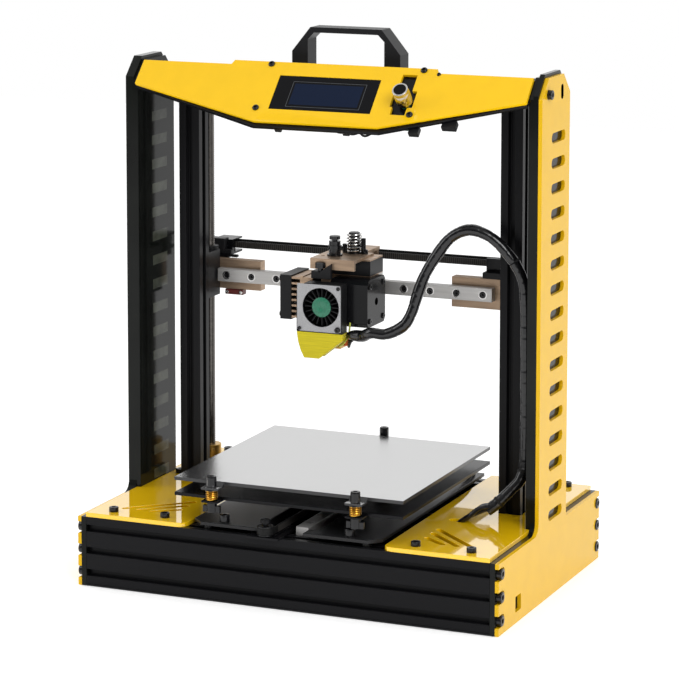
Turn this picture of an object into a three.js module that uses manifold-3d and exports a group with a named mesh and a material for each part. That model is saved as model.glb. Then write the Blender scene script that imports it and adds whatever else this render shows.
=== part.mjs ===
// A desktop filament printer: a low base, two side towers joined by a top beam, a gantry that climbs two
// lead screws and carries the print head across, and a bed that slides front to back on the base.
// Millimetres. X runs across from the middle (right positive), Y back from the front face of the base,
// Z up from the table. The finished group is moved so that its origin is the middle of its footprint.
import * as THREE from "three";
import { mergeVertices } from "three/addons/utils/BufferGeometryUtils.js";
import Module from "manifold-3d";

const wasm = await Module();
wasm.setup();

// ---- Driving dimensions ----
const innerHalf = 188.5; // middle plane to the inner face of a side plate
const baseDepth = 268;
const baseTop = 62;
const frameTop = 455; // top of the coloured side panels
const beamTop = 449; // top of the top beam, which stays below the console's upper edge
const profile = 20; // module of the aluminium extrusions
const plateThick = 4.5; // black side plate
const panelThick = 3.5; // coloured side panel
const innerPlateThick = 4; // glossy plate inside each tower
const coverThick = 4;
const bottomThick = 2;
const frontOverhang = 8; // how far the bed belt's idler bracket stands out in front of the base
const towerFront = 100;
const towerBack = 173.4;
const postX = 154.5;
const postY = 152.5;
const leadX = 154;
const leadY = 185;
const railZ = 251.4; // middle of the rail across the gantry
const railFrontY = 180.4; // front face of that rail
const railSize = [12, 8]; // width and height of both rails
const carriageX = -5.25; // where the print head stands on the gantry
const bedRailX = 11.8;
const bedBeltX = -15.3;
const motorSide = 42.3;
const beltWidth = 6;
const beltInner = 6.2; // radius of the inside of a belt where it turns
const beltThick = 1.4;
const gap = 0.3; // between pieces that rest on or pass one another
const contact = 0.1; // between pieces bolted together
const fit = 0.05; // radial clearance of a running bore

const coverTop = baseTop + coverThick;
const innerPlateX = innerHalf - innerPlateThick;

// ---- Solids ----
// The span of x that lies between two distances from the middle plane, on the left (-1) or the right (1).
function onSide(side, near, far) {
  return side > 0 ? [near, far] : [-far, -near];
}

function box(x, y, z) {
  const g = new THREE.BoxGeometry(x[1] - x[0], y[1] - y[0], z[1] - z[0]);
  return g.translate((x[0] + x[1]) / 2, (y[0] + y[1]) / 2, (z[0] + z[1]) / 2);
}

// Turns a solid drawn along Z so that it lies along the given axis, its other two axes kept in x, y, z order.
function layAlong(axis, geometry) {
  if (axis === "x") geometry.applyMatrix4(new THREE.Matrix4().makeBasis(
    new THREE.Vector3(0, 1, 0), new THREE.Vector3(0, 0, 1), new THREE.Vector3(1, 0, 0)));
  if (axis === "y") geometry.rotateX(Math.PI / 2);
  return geometry;
}

// A prism whose outline is drawn in the two axes other than its own; curves get twice curveSegments sides.
function prism(axis, shape, span, curveSegments = 3) {
  const depth = span[1] - span[0];
  const g = new THREE.ExtrudeGeometry(shape, { depth, bevelEnabled: false, curveSegments });
  const start = axis === "y" ? -span[1] : span[0];
  return layAlong(axis, g.translate(0, 0, start));
}

function outline(points) {
  return new THREE.Shape(points.map(([u, v]) => new THREE.Vector2(u, v)));
}

// A round bar or a cone along an axis; the centre is given in the other two axes.
function rod(axis, radius, centre, span, sides = 24, endRadius = radius) {
  const g = new THREE.CylinderGeometry(endRadius, radius, span[1] - span[0], sides);
  const middle = (span[0] + span[1]) / 2;
  if (axis === "x") return g.rotateZ(-Math.PI / 2).translate(middle, centre[0], centre[1]);
  if (axis === "y") return g.translate(centre[0], middle, centre[1]);
  return g.rotateX(Math.PI / 2).translate(centre[0], centre[1], middle);
}

// A round hole whose flat sides all clear a turning shaft of the given radius.
function bore(axis, radius, centre, span, sides = 16) {
  return rod(axis, (radius + fit) / Math.cos(Math.PI / sides), centre, span, sides);
}

// The outline of a round-ended slot between two points.
function slot(from, to, width) {
  const turn = Math.atan2(to[1] - from[1], to[0] - from[0]);
  const s = new THREE.Shape();
  s.absarc(to[0], to[1], width / 2, turn - Math.PI / 2, turn + Math.PI / 2);
  s.absarc(from[0], from[1], width / 2, turn + Math.PI / 2, turn + Math.PI * 1.5);
  return s;
}

function solidOf(geometry) {
  const g = geometry.clone();
  g.deleteAttribute("normal");
  g.deleteAttribute("uv");
  const merged = mergeVertices(g, 1e-4);
  return new wasm.Manifold(new wasm.Mesh({
    numProp: 3,
    vertProperties: merged.attributes.position.array,
    triVerts: new Uint32Array(merged.index.array),
  }));
}

function geometryOf(solid) {
  const made = solid.getMesh();
  const g = new THREE.BufferGeometry();
  g.setAttribute("position", new THREE.BufferAttribute(made.vertProperties, 3));
  g.setIndex(new THREE.BufferAttribute(made.triVerts, 1));
  g.computeVertexNormals();
  return g;
}

function join(...pieces) {
  return geometryOf(pieces.map(solidOf).reduce((all, one) => all.add(one)));
}

function cut(body, ...tools) {
  return geometryOf(tools.map(solidOf).reduce((left, tool) => left.subtract(tool), solidOf(body)));
}

// ---- Materials ----
const looks = {
  blackMetal: { color: 0x1a1b1e, roughness: 0.5, metalness: 0.4 },
  yellowPanel: { color: 0xf2c200, roughness: 0.2, metalness: 0 },
  blackPlastic: { color: 0x18181a, roughness: 0.45, metalness: 0 },
  champagne: { color: 0xc9a583, roughness: 0.4, metalness: 0.8 },
  steel: { color: 0xb9bcc0, roughness: 0.25, metalness: 1 },
  brass: { color: 0xb08d4a, roughness: 0.3, metalness: 1 },
  rubber: { color: 0x151515, roughness: 0.8, metalness: 0 },
  green: { color: 0x2f7d52, roughness: 0.4, metalness: 0 },
  screen: { color: 0x1f46b8, roughness: 0.15, metalness: 0 },
};

const printer = new THREE.Group();
printer.position.y = -(baseDepth - frontOverhang) / 2;

function add(name, geometry, look, parent = printer) {
  const mesh = new THREE.Mesh(geometry, new THREE.MeshStandardMaterial(looks[look]));
  mesh.name = name;
  parent.add(mesh);
}

// ---- Standard parts ----
// Half outline of the T-slot in an extrusion: distance from the slot's middle, depth below the face.
const tSlot = [[3.1, 0], [3.1, 1.8], [5.5, 1.8], [5.5, 3], [2.6, 5.9]];

// An extrusion's outline, a number of modules wide and high, from its lower corner, with a T-slot per module.
function extrusion(u, v, columns, rows) {
  const width = columns * profile;
  const height = rows * profile;
  const corners = [[u, v], [u + width, v], [u + width, v + height], [u, v + height]];
  const left = tSlot.map(([off, deep]) => [-off, deep]);
  const whole = [...left, ...[...tSlot].reverse()];
  const points = corners.flatMap((from, i) => {
    const to = corners[(i + 1) % corners.length];
    const length = Math.hypot(to[0] - from[0], to[1] - from[1]);
    const along = [(to[0] - from[0]) / length, (to[1] - from[1]) / length];
    const side = [from];
    for (let middle = profile / 2; middle < length; middle += profile) {
      for (const [off, deep] of whole) {
        const run = middle + off;
        side.push([from[0] + along[0] * run - along[1] * deep, from[1] + along[1] * run + along[0] * deep]);
      }
    }
    return side;
  });
  return outline(points);
}

// A stepper motor whose mounting face is at z = 0 and whose shaft points up.
function stepper(length, shaft) {
  const half = motorSide / 2;
  const corner = 3.5;
  const square = [[1, 1], [-1, 1], [-1, -1], [1, -1]].flatMap(([sx, sy]) => {
    const a = [sx * half, sy * (half - corner)];
    const b = [sx * (half - corner), sy * half];
    return sx * sy > 0 ? [a, b] : [b, a];
  });
  return join(
    prism("z", outline(square), [-length, 0]),
    rod("z", 11, [0, 0], [-1, 2]),
    rod("z", 2.5, [0, 0], [0, shaft], 16),
  );
}

// A flanged belt pulley on a 5 mm shaft, its lower flange at z.
const flange = 1;
function pulley(x, y, z) {
  const top = z + beltWidth + 2 * (flange + contact);
  return cut(
    join(
      rod("z", beltInner - contact, [x, y], [z, top]),
      rod("z", 7.5, [x, y], [z, z + flange]),
      rod("z", 7.5, [x, y], [top - flange, top]),
    ),
    bore("z", 2.5, [x, y], [z - 1, top + 1]),
  );
}

// A belt round two pulleys, as the space between two round-ended loops.
function beltLoop(from, to, z) {
  const outer = prism("z", slot(from, to, 2 * (beltInner + beltThick)), [z, z + beltWidth], 5);
  const inner = prism("z", slot(from, to, 2 * beltInner), [z - 1, z + beltWidth + 1], 5);
  return cut(outer, inner);
}

// Screw holes every 25 mm along a rail, each a through hole with a wider seat for the screw's head.
const railPitch = 25;
function railHoles(first, last, hole) {
  const holes = [];
  for (let at = first; at <= last; at += railPitch) holes.push(...hole(at));
  return holes;
}

// ---- Base ----
const rearBeamY = baseDepth - profile;
const boxY = [0, baseDepth];

function addBase() {
  const length = [-innerHalf + contact, innerHalf - contact];
  add("front_beam", prism("x", extrusion(0, bottomThick, 1, 3), length), "blackMetal");
  add("rear_beam", prism("x", extrusion(rearBeamY, bottomThick, 1, 3), length), "blackMetal");
  add("bottom_plate", box(length, boxY, [0, bottomThick - contact]), "blackMetal");
  const beamFrom = bedRailX - profile / 2;
  const beamY = [profile + contact, 203];
  const centreBeam = layAlong("y", new THREE.ExtrudeGeometry(
    extrusion(beamFrom, baseTop - profile, 1, 1), { depth: beamY[1] - beamY[0], bevelEnabled: false }));
  add("centre_beam", centreBeam.translate(0, beamY[1], 0), "blackMetal");
}

// The vents that pierce the base covers at a slant, as their two ends; x is a distance from the middle plane.
const slantedVents = [
  [[116.5, 41], [136.5, 26.5]],
  [[116.5, 56], [149.5, 26.5]],
  [[116.5, 70], [163.5, 26.5]],
];
const slitWidth = 5;
const coverInner = 92.5;

function addCovers() {
  for (const side of [-1, 1]) {
    const round = 8;
    const shape = new THREE.Shape();
    shape.moveTo(side * innerHalf, 0);
    shape.lineTo(side * (coverInner + round), 0);
    shape.quadraticCurveTo(side * coverInner, 0, side * coverInner, round);
    shape.lineTo(side * coverInner, baseDepth);
    shape.lineTo(side * innerHalf, baseDepth);
    const through = [baseTop - 1, coverTop + 1];
    const holes = slantedVents.map(([from, to]) =>
      prism("z", slot([side * from[0], from[1]], [side * to[0], to[1]], slitWidth), through));
    const clear = profile / 2 + gap;
    holes.push(box(onSide(side, postX - clear, postX + clear), [postY - clear, postY + clear], through));
    holes.push(rod("z", 12, [side * leadX, leadY], through));
    if (side > 0) holes.push(prism("z", slot([117, 105.5], [125, 105.5], 9), through));
    const plate = prism("z", shape, [baseTop + contact, coverTop]);
    add(side < 0 ? "base_cover_left" : "base_cover_right", cut(plate, ...holes), "yellowPanel");
  }
}

const centrePlateHalf = 88;
const centrePlateZ = [coverTop, coverTop + 3];

function addCentrePlate() {
  const [front, back, corner] = [2, 262, 10];
  const wide = centrePlateHalf;
  const plate = prism("z", outline([
    [-wide + corner, front], [wide - corner, front], [wide, front + corner],
    [wide, back], [-wide, back], [-wide, front + corner],
  ]), centrePlateZ);
  const slotLeft = -23.5;
  const blockRight = bedRailX + 15.2; // the bed's rail block runs below the plate's top
  const tall = [centrePlateZ[0] - 1, centrePlateZ[1] + 1];
  const feet = [-1, 1].flatMap((side) => [profile / 2, baseDepth - profile / 2].map((y) =>
    rod("z", 4, [side * (wide - 14), y], [baseTop + contact, centrePlateZ[0] + 1], 12)));
  add("centre_plate", cut(
    join(plate, ...feet),
    box([slotLeft, 18.5], [front - 1, 20], tall),
    box([slotLeft, blockRight], [16, 246], tall),
  ), "blackMetal");
}

function addBedDrive() {
  const [width, height] = railSize;
  const z = [baseTop + contact, baseTop + height];
  const rail = box([bedRailX - width / 2, bedRailX + width / 2], [16.4, 240], z);
  add("y_rail", cut(rail, ...railHoles(34, 234, (y) => [
    rod("z", 1.75, [bedRailX, y], [z[0] - 1, z[1] + 1], 12),
    rod("z", 3.2, [bedRailX, y], [z[1] - 4.5, z[1] + 1], 12),
  ])), "steel");

  const idlerTop = 78;
  add("y_idler_bracket", join(
    box([bedBeltX - 15, bedBeltX + 15], [-frontOverhang, 40], [baseTop + contact, baseTop + 2]),
    rod("z", 2.5, [bedBeltX, 0], [baseTop + 1, idlerTop], 16),
    rod("z", 4.5, [bedBeltX, 0], [idlerTop - 3, idlerTop], 12),
  ), "blackMetal");
  const motorY = 225.6;
  const pulleyZ = baseTop + 2 + gap;
  const beltZ = pulleyZ + flange + contact;
  add("y_belt", beltLoop([bedBeltX, 0], [bedBeltX, motorY], beltZ), "rubber");
  add("y_idler_pulley", pulley(bedBeltX, 0, pulleyZ), "steel");
  add("y_drive_pulley", pulley(bedBeltX, motorY, pulleyZ), "steel");
  const face = baseTop - 0.5;
  add("y_motor", stepper(39.5, pulleyZ + 9.5 - face).translate(bedBeltX, motorY, face), "blackMetal");
}

function addController() {
  const z = 8;
  const x = [62, innerHalf - 1];
  const legs = [66, 136].flatMap((legX) => [34, 116].map((y) =>
    rod("z", 3, [legX, y], [bottomThick, z + 1], 10)));
  add("controller_board", join(
    box([x[0], 140], [30, 120], [z, z + 1.6]),
    box([70, 100], [34, 44], [z + 1, z + 12]),
    box([70, 130], [104, 114], [z + 1, z + 11]),
    box([80, 95], [60, 75], [z + 1, z + 12]),
    box([105, 120], [60, 75], [z + 1, z + 12]),
    box([130, x[1]], [44, 54], [z + 1, z + 12]),
    ...legs,
  ), "green");
}

// ---- Towers and frame ----
// Vents through the coloured side panels: their height above the table follows from first, count and pitch.
const ventFirst = 72;
const ventPitch = 22;
const ventCount = 16;
const ventY = [130, 157];
const rim = 3; // how far the side plates stand out round the coloured panels

// The side of the base and the tower on it; inset draws the tower's front and back edges in.
function towerOutline(top, inset = 0) {
  const chamfer = 17;
  const fillet = 10;
  const front = towerFront + inset;
  const back = towerBack - inset;
  const s = new THREE.Shape();
  s.moveTo(0, 0);
  s.lineTo(baseDepth, 0);
  s.lineTo(baseDepth, baseTop);
  s.lineTo(back, baseTop);
  s.lineTo(back, top - chamfer);
  s.lineTo(back - chamfer, top);
  s.lineTo(front + chamfer, top);
  s.lineTo(front, top - chamfer);
  s.lineTo(front, baseTop + fillet);
  s.absarc(front - fillet, baseTop + fillet, fillet, 0, -Math.PI / 2, true);
  s.lineTo(0, baseTop);
  return s;
}

// The left plate is folded out round the tower's part of its coloured panel.
function leftRim() {
  const outside = innerHalf + plateThick + panelThick;
  const through = [-outside - 1, -innerHalf];
  return cut(
    prism("x", towerOutline(frameTop + rim), [-outside, -innerHalf - 1]),
    prism("x", towerOutline(frameTop + contact, rim), through),
    box(through, [-1, baseDepth + 1], [-1, baseTop + contact]),
  );
}

function addTowers() {
  for (const side of [-1, 1]) {
    const name = side < 0 ? "left" : "right";
    const plateX = onSide(side, innerHalf, innerHalf + plateThick);
    const outer = prism("x", towerOutline(frameTop + rim), plateX);
    const upright = prism("x", outline([
      [towerFront, coverTop + contact], [towerBack, coverTop + contact], [towerBack, frameTop - 17],
      [towerBack - 17, frameTop], [towerFront + 17, frameTop], [towerFront, frameTop - 17],
    ]), onSide(side, innerPlateX, innerHalf + 1));
    const port = box(onSide(side, innerHalf - 5, innerHalf + 10), [43.5, 54.5], [10.5, 20.5]);
    const plate = side > 0 ? cut(join(outer, upright), port) : join(outer, upright, leftRim());
    add("side_plate_" + name, plate, "blackMetal");

    const panelX = onSide(side, innerHalf + plateThick + contact, innerHalf + plateThick + panelThick);
    const through = onSide(side, innerHalf, innerHalf + 20);
    const notches = [12, 32, 52].flatMap((z) => [
      prism("x", slot([-10, z], [9.8, z], 10.4), through),
      prism("x", slot([baseDepth - 4.8, z], [baseDepth + 10, z], 10.4), through),
    ]);
    const vents = Array.from({ length: ventCount }, (_, i) => ventFirst + i * ventPitch).map((z) =>
      prism("x", slot([ventY[0], z], [ventY[1], z], 9), through));
    const window = box(through, [42, 56], [9.5, 23]);
    const tools = side > 0 ? [...notches, ...vents, window] : [...notches, ...vents];
    const panelOutline = towerOutline(frameTop, side > 0 ? 0 : rim + contact);
    add("side_panel_" + name, cut(prism("x", panelOutline, panelX), ...tools), "yellowPanel");

    const half = profile / 2;
    const postZ = [bottomThick, beamTop - profile - contact];
    add("post_" + name, prism("z", extrusion(side * postX - half, postY - half, 1, 1), postZ), "blackMetal");
  }
  const half = profile / 2;
  const beamX = [-innerPlateX + contact, innerPlateX - contact];
  add("top_beam", prism("x", extrusion(postY - half, beamTop - profile, 1, 1), beamX), "blackMetal");
}

function addHandle() {
  const [outer, shoulder, top, leg, topBar, inner] = [51.6, 466, 487.8, 15.2, 4.8, 6];
  const foot = beamTop + contact;
  const hole = outer - leg;
  const half = [
    [outer, foot], [outer, shoulder], [34, top],
  ];
  const mirrored = [...half].reverse().map(([x, z]) => [-x, z]);
  const arch = outline([
    [hole, foot], ...half, ...mirrored, [-hole, foot],
    [-hole, top - topBar - inner], [-hole + inner, top - topBar],
    [hole - inner, top - topBar], [hole, top - topBar - inner],
  ]);
  add("handle", prism("y", arch, [140, 160]), "blackPlastic");
}

// ---- Console: everything here is drawn flat, then tilted 45 degrees about its own front edge ----
const consoleHalf = innerPlateX - gap;
const knobAt = [76.5, -6.2];

function addConsole() {
  const tilted = new THREE.Group();
  tilted.position.set(0, 93.5, 436);
  tilted.rotation.x = Math.PI / 4;
  printer.add(tilted);

  const face = 3; // thickness of the coloured panel, which lies just below z = 0
  const lower = (drop) => outline([
    [-consoleHalf, 0], [-57.5 - drop / 2, -34.5 - drop], [57.5 + drop / 2, -34.5 - drop], [consoleHalf, 0],
    [consoleHalf, 27.2], [98, 27.2], [96, 31.9], [-96, 31.9], [-98, 27.2], [-consoleHalf, 27.2],
  ]);
  const window = (grow) => box([-47.7 - grow, 47.7 + grow], [-20.4 - grow, 17 + grow], [-30, 10]);
  const stem = box([66, 79.5], [-20, 24], [-face - 0.1, 1]);
  const recess = box([63.5, 84], [-11.5, 6.5], [-face - 0.1, 1]);
  add("console_panel", cut(prism("z", lower(0), [-face, 0]), window(0), stem, recess), "yellowPanel", tilted);

  // Two gussets carry the back plate from the front face of the top beam.
  const back = -face - gap;
  const beamFace = postY - profile / 2;
  const toBeam = (beamFace - 93.5) / Math.SQRT2 - gap;
  const gussets = [-1, 1].map((side) => {
    const rise = (z) => (z - 436) / Math.SQRT2;
    const low = [toBeam + rise(beamTop - 18), -toBeam + rise(beamTop - 18)];
    const high = [toBeam + rise(beamTop - 2), -toBeam + rise(beamTop - 2)];
    return prism("x", outline([[2, back - 1], [26, back - 1], high, low]), onSide(side, 104, 108));
  });
  const backPlate = prism("z", lower(3), [back - 4, back]);
  add("console_backplate", cut(
    join(backPlate, ...gussets),
    window(0.5),
    rod("z", 5, knobAt, [-30, 10]),
  ), "blackMetal", tilted);

  const boardTop = -12.4;
  const body = back - 4 - gap;
  add("display_module", cut(
    join(
      box([-58, 90], [-26, 26], [boardTop - 1.6, boardTop]),
      box([-47.4, 47.4], [-20.1, 16.7], [boardTop - 1, -0.5]),
      box([knobAt[0] - 6, knobAt[0] + 6], [knobAt[1] - 6, knobAt[1] + 6], [boardTop - 1, body]),
      rod("z", 4.5, knobAt, [boardTop, -1]),
    ),
    bore("z", 3, knobAt, [boardTop, 5]),
  ), "screen", tilted);
  add("encoder_shaft", rod("z", 3, knobAt, [boardTop + 0.8, 9], 16), "steel", tilted);
  add("control_knob", cut(
    rod("z", 7, knobAt, [1, 18]),
    bore("z", 3, knobAt, [0, 9.5]),
  ), "steel", tilted);
}

// ---- Lifting drive ----
function addLift() {
  for (const side of [-1, 1]) {
    const name = side < 0 ? "left" : "right";
    const at = [side * leadX, leadY];
    const face = baseTop - contact;
    const shaftTop = 80;
    add("z_motor_" + name, stepper(40, shaftTop - face).translate(...at, face), "blackMetal");
    const coupler = [coverTop + gap, coverTop + 25];
    add("lead_screw_" + name, cut(
      join(rod("z", 9.5, at, coupler), rod("z", 4, at, [coupler[1] - 1, 430], 16)),
      bore("z", 2.5, at, [coupler[0] - 1, shaftTop + 0.5]),
    ), "steel");
  }
}

// ---- Gantry ----
const endBlockY = [railFrontY + railSize[1] + contact, 198.4];
const beltAxisY = 220;
const xMotorAt = [149.5, beltAxisY];
const xBeltZ = 271.5;
const xIdlerX = -151;

function addGantry() {
  const runOnPost = postY + profile / 2 + 2 * fit;
  for (const side of [-1, 1]) {
    const name = side < 0 ? "left" : "right";
    const at = [side * leadX, leadY];
    const tall = [railZ - 19.4, railZ + 22.6];
    // The block runs on the back face of the post, with a tongue in the post's T-slot, and holds the nut.
    const block = join(
      box(onSide(side, 145.5, 164), [runOnPost, endBlockY[0] - contact], tall),
      box(onSide(side, postX - 2.9, postX + 2.9), [runOnPost - 3, runOnPost + 1], tall),
      rod("z", 8, at, [tall[1] - 1, tall[1] + 3.5]),
    );
    add("z_block_" + name, cut(block, bore("z", 4, at, [tall[0] - 1, tall[1] + 5])), "blackPlastic");
  }

  const endZ = [railZ - 13.9, railZ + 13.3];
  const screwRoom = (side) => rod("z", 5.4, [side * leadX, leadY], [200, 300]);
  add("end_block_left", cut(box([-164, -104.5], endBlockY, endZ), screwRoom(-1)), "champagne");
  const [motorX, motorY] = xMotorAt;
  const motorFace = railZ + 15.8;
  const shelfTop = motorFace + 2.8;
  add("end_block_right", cut(
    box([82.5, 164], endBlockY, endZ),
    screwRoom(1),
    rod("z", 11.3, xMotorAt, [200, 300]),
  ), "champagne");

  const [width, height] = railSize;
  const railX = [-144.2, 123.4];
  const railY = [railFrontY, railFrontY + height];
  add("x_rail", cut(
    box(railX, railY, [railZ - width / 2, railZ + width / 2]),
    ...railHoles(railX[0] + 8.85, railX[1], (x) => [
      rod("y", 1.75, [x, railZ], [railY[0] - 1, railY[1] + 1], 12),
      rod("y", 3.2, [x, railZ], [railY[0] - 1, railY[0] + 4.5], 12),
    ]),
  ), "steel");

  // The belt motor hangs under a bracket that is bolted to the top and the back of the end block.
  const shelfLeft = 111.5;
  add("x_motor", cut(
    join(
      stepper(37, 14).translate(motorX, motorY, motorFace),
      box([shelfLeft, 171], [endBlockY[0] + 4, motorY + motorSide / 2], [motorFace - 0.5, shelfTop]),
      box([shelfLeft, 164], endBlockY, [endZ[1] + contact, shelfTop]),
      box([shelfLeft, 126], [endBlockY[1] + contact, 201.5], [railZ + 6, railZ + 30]),
    ),
    screwRoom(1),
  ), "blackMetal");
  add("x_drive_pulley", pulley(motorX, motorY, xBeltZ - flange - contact), "steel");
  add("x_belt", beltLoop([xIdlerX, beltAxisY], xMotorAt, xBeltZ), "rubber");
  const drumTop = xBeltZ + beltWidth + 1;
  const armX = [xIdlerX - 9.5, xIdlerX + 9.5];
  add("x_idler_bracket", join(
    box(armX, [endBlockY[1] + contact, 201], [railZ - 6, 268]),
    box(armX, [endBlockY[1] + contact, 229], [266, 268]),
    box(armX, [207, 211], [266, drumTop + 1.5]),
    rod("z", beltInner - contact, [xIdlerX, beltAxisY], [267, drumTop + 1]),
    box(armX, [210, 229], [drumTop, drumTop + 1.5]),
  ), "blackMetal");
}

// ---- Print head: drawn about the middle of its rail block, on the gantry's rail ----
const motorCentre = [151, -7.2]; // y and z of the feed motor's axis
const feedX = -18.2; // where the filament runs down through the head
const gearRadius = 5.5;
const filamentY = motorCentre[0] - gearRadius - 0.9;
const leverPivot = [137, -15.4];
const blowerCentre = [-8.2, -9.6];

function gearOutline(teeth, radius, depth) {
  const points = [];
  for (let i = 0; i < teeth; i += 1) {
    for (const [part, r] of [[0, radius - depth], [0.3, radius], [0.6, radius]]) {
      const a = ((i + part) / teeth) * 2 * Math.PI;
      points.push([r * Math.cos(a), r * Math.sin(a)]);
    }
  }
  return outline(points);
}

function addExtruder(head) {
  const blockX = [-31.7, -5.5];
  const z = [-28.3, 13.6];
  const slotX = [feedX - 4, feedX + 4];
  const gearX = [feedX - 3.8, feedX + 3.8];
  const block = cut(
    box(blockX, [130.2, 171.8], z),
    rod("x", 7.5, motorCentre, [-25, 0]),
    rod("x", 11.4, motorCentre, [blockX[1] - 2.5, 0]),
    rod("z", 1.6, [feedX, filamentY], [z[0] - 1, z[1] + 1], 12),
    box(slotX, [125, filamentY], [leverPivot[1] - 5.1, z[1] + 1]),
  );
  const pin = rod("x", 1.5, leverPivot, [slotX[0] - 1, slotX[1] + 1], 12);
  add("extruder_block", join(block, pin), "champagne", head);

  const motor = stepper(35.7, 18.8).rotateY(-Math.PI / 2);
  add("extruder_motor", motor.translate(blockX[1] + gap, ...motorCentre), "blackMetal", head);
  const gear = prism("x", gearOutline(18, gearRadius, 0.8), gearX).translate(0, ...motorCentre);
  add("drive_gear", cut(gear, bore("x", 2.5, motorCentre, [-30, 0])), "brass", head);

  // The lever turns on its pin, presses the filament to the gear and is pulled forward by its tab.
  const armX = [slotX[0] + gap, slotX[1] - gap];
  const above = z[1] + 0.6;
  add("pressure_lever", cut(
    join(
      box(armX, [134, 139.5], [leverPivot[1] - 4, above + 1]),
      box(armX, [139, filamentY - 1.2], [motorCentre[1] - 3, motorCentre[1] + 3]),
      box(armX, [126, 139.5], [above, above + 6.5]),
      prism("y", outline([[-21.9, above], [-3.2, above], [-3.2, above + 13.5]]), [126, 129.6]),
    ),
    bore("x", 1.5, leverPivot, [armX[0] - 1, armX[1] + 1], 12),
  ), "blackPlastic", head);

  const fins = Array.from({ length: 8 }, (_, i) => -23.6 + i * 5).map((finZ) =>
    box([-42.7, -34], [130.3, 169.7], [finZ, finZ + 1.8]));
  const finPlate = box([-34.5, blockX[0] - contact], [130.3, 169.7], [-25.2, 14.4]);
  add("heat_sink", join(finPlate, ...fins), "champagne", head);

  add("hot_end", join(
    rod("z", 3, [feedX, filamentY], [-41, z[0] - contact], 16),
    box([-24, 2], [filamentY - 8, filamentY + 8], [-50, -40]),
    rod("z", 0.6, [feedX, filamentY], [-55.4, -49], 16, 3.2),
  ), "brass", head);
}

function addCarriage(head) {
  const half = 22.7;
  const channel = railSize[0] / 2 + 2 * fit;
  const blockY = [railFrontY - 5, railFrontY + 5];
  add("carriage_block", cut(
    box([-half, half], blockY, [-13.5, 13.5]),
    box([-half - 1, half + 1], [railFrontY - 2 * fit, blockY[1] + 1], [-channel, channel]),
  ), "steel", head);

  const deck = [28.6, 31.6];
  const beltFace = beltAxisY - beltInner - beltThick;
  add("carriage_bracket", cut(
    join(
      box([-24.6, 17.8], [130, 176], deck),
      box([-9, 9], [175, beltFace - gap], deck),
      box([-24.6, 17.8], [130, 133], [22.1, deck[1]]),
      box([-half, half], [172.5, blockY[0] - contact], [-13.4, deck[0] + 1]),
      box([-25.2, 24.8], [150, 180], [14.2, deck[0] + 1]),
      box([-8, 8], [beltFace - gap - 4, beltFace - gap], [19.4, deck[0] + 1]),
      rod("z", 5, [-9.2, 150], [deck[1] - 1, 44.6]),
      rod("z", 5, [2.2, 168], [deck[1] - 1, 44]),
    ),
    rod("z", 2, [feedX, filamentY], [deck[0] - 1, deck[1] + 1], 12),
  ), "champagne", head);
}

function addFan(head) {
  const centre = [150, -5.4];
  const x = [-53.7, -43];
  const half = 20;
  const holes = [-16, 16].flatMap((dy) => [-16, 16].map((dz) =>
    rod("x", 1.7, [centre[0] + dy, centre[1] + dz], [x[0] - 1, x[1] + 1], 10)));
  const ring = cut(
    box(x, [centre[0] - half, centre[0] + half], [centre[1] - half, centre[1] + half]),
    rod("x", 19, centre, [x[0] - 1, x[1] + 1], 32),
    ...holes,
  );
  const spokes = [Math.PI / 4, -Math.PI / 4].map((turn) =>
    box([x[1] - 1.2, x[1]], [-19.5, 19.5], [-1.2, 1.2]).rotateX(turn).translate(0, ...centre));
  add("fan_frame", join(
    ring,
    ...spokes,
    rod("x", 8, centre, [x[1] - 1.2, x[1]]),
    rod("x", 1.5, centre, [x[0] + 3, x[1] - 0.6], 12),
  ), "blackPlastic", head);

  const blades = Array.from({ length: 7 }, (_, i) =>
    new THREE.BoxGeometry(6.6, 1.2, 11).rotateZ(0.7).translate(0, 0, 12.6).rotateX((i / 7) * 2 * Math.PI));
  const middle = (x[0] + x[1]) / 2 - 0.6;
  const rotor = join(rod("x", 8, [0, 0], [-3.8, 3.8]), ...blades).translate(middle, ...centre);
  add("fan_rotor", cut(rotor, bore("x", 1.5, centre, [x[0] + 2.5, x[1]], 12)), "blackPlastic", head);
}

function addBlower(head) {
  const [cx, cz] = blowerCentre;
  const y = [116, 128];
  const wall = 1.6;
  const [left, right, low, high] = [-31.7, 11.7, -32.4, 11.6];
  const shell = prism("y", outline([
    [left, low], [right, low], [right, high], [left + 8, high], [left, high - 8],
  ]), y);
  const inside = [y[0] + wall, y[1] - wall];
  const housing = cut(
    shell,
    rod("y", 18, blowerCentre, inside, 32),
    box([left + wall, cx], inside, [low - 1, cz]),
    rod("y", 17.4, blowerCentre, [y[0] - 1, inside[0] + 1], 32),
  );
  const pin = rod("y", 1.5, blowerCentre, [y[0] + 4, y[1] - 1], 12);
  add("blower_housing", join(housing, pin), "steel", head);

  const blade = box([8, 16.6], [inside[0] + 0.6, inside[1] - 1], [-0.4, 0.4]);
  const blades = Array.from({ length: 20 }, (_, i) =>
    blade.clone().rotateY((i / 20) * 2 * Math.PI).translate(cx, 0, cz));
  add("blower_wheel", cut(
    join(rod("y", 8.9, blowerCentre, [inside[0], inside[1] - 0.6]), ...blades),
    bore("y", 1.5, blowerCentre, [y[0] + 3.5, y[1]], 12),
  ), "green", head);

  const top = low - contact;
  const duct = (inset) => {
    const s = new THREE.Shape();
    s.moveTo(left + inset, top + inset);
    s.quadraticCurveTo(left + 1 + inset, -46, -24.6 + inset, -55.9 - inset);
    s.lineTo(-10.2 - inset, -55.9 - inset);
    s.lineTo(right + 1 - inset, -38);
    s.lineTo(right + 1 - inset, top + inset);
    return s;
  };
  add("air_duct", cut(
    prism("y", duct(0), [y[0], y[1] + 2]),
    prism("y", duct(wall), [y[0] + wall, y[1] + 0.4]),
  ), "yellowPanel", head);
}

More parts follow.
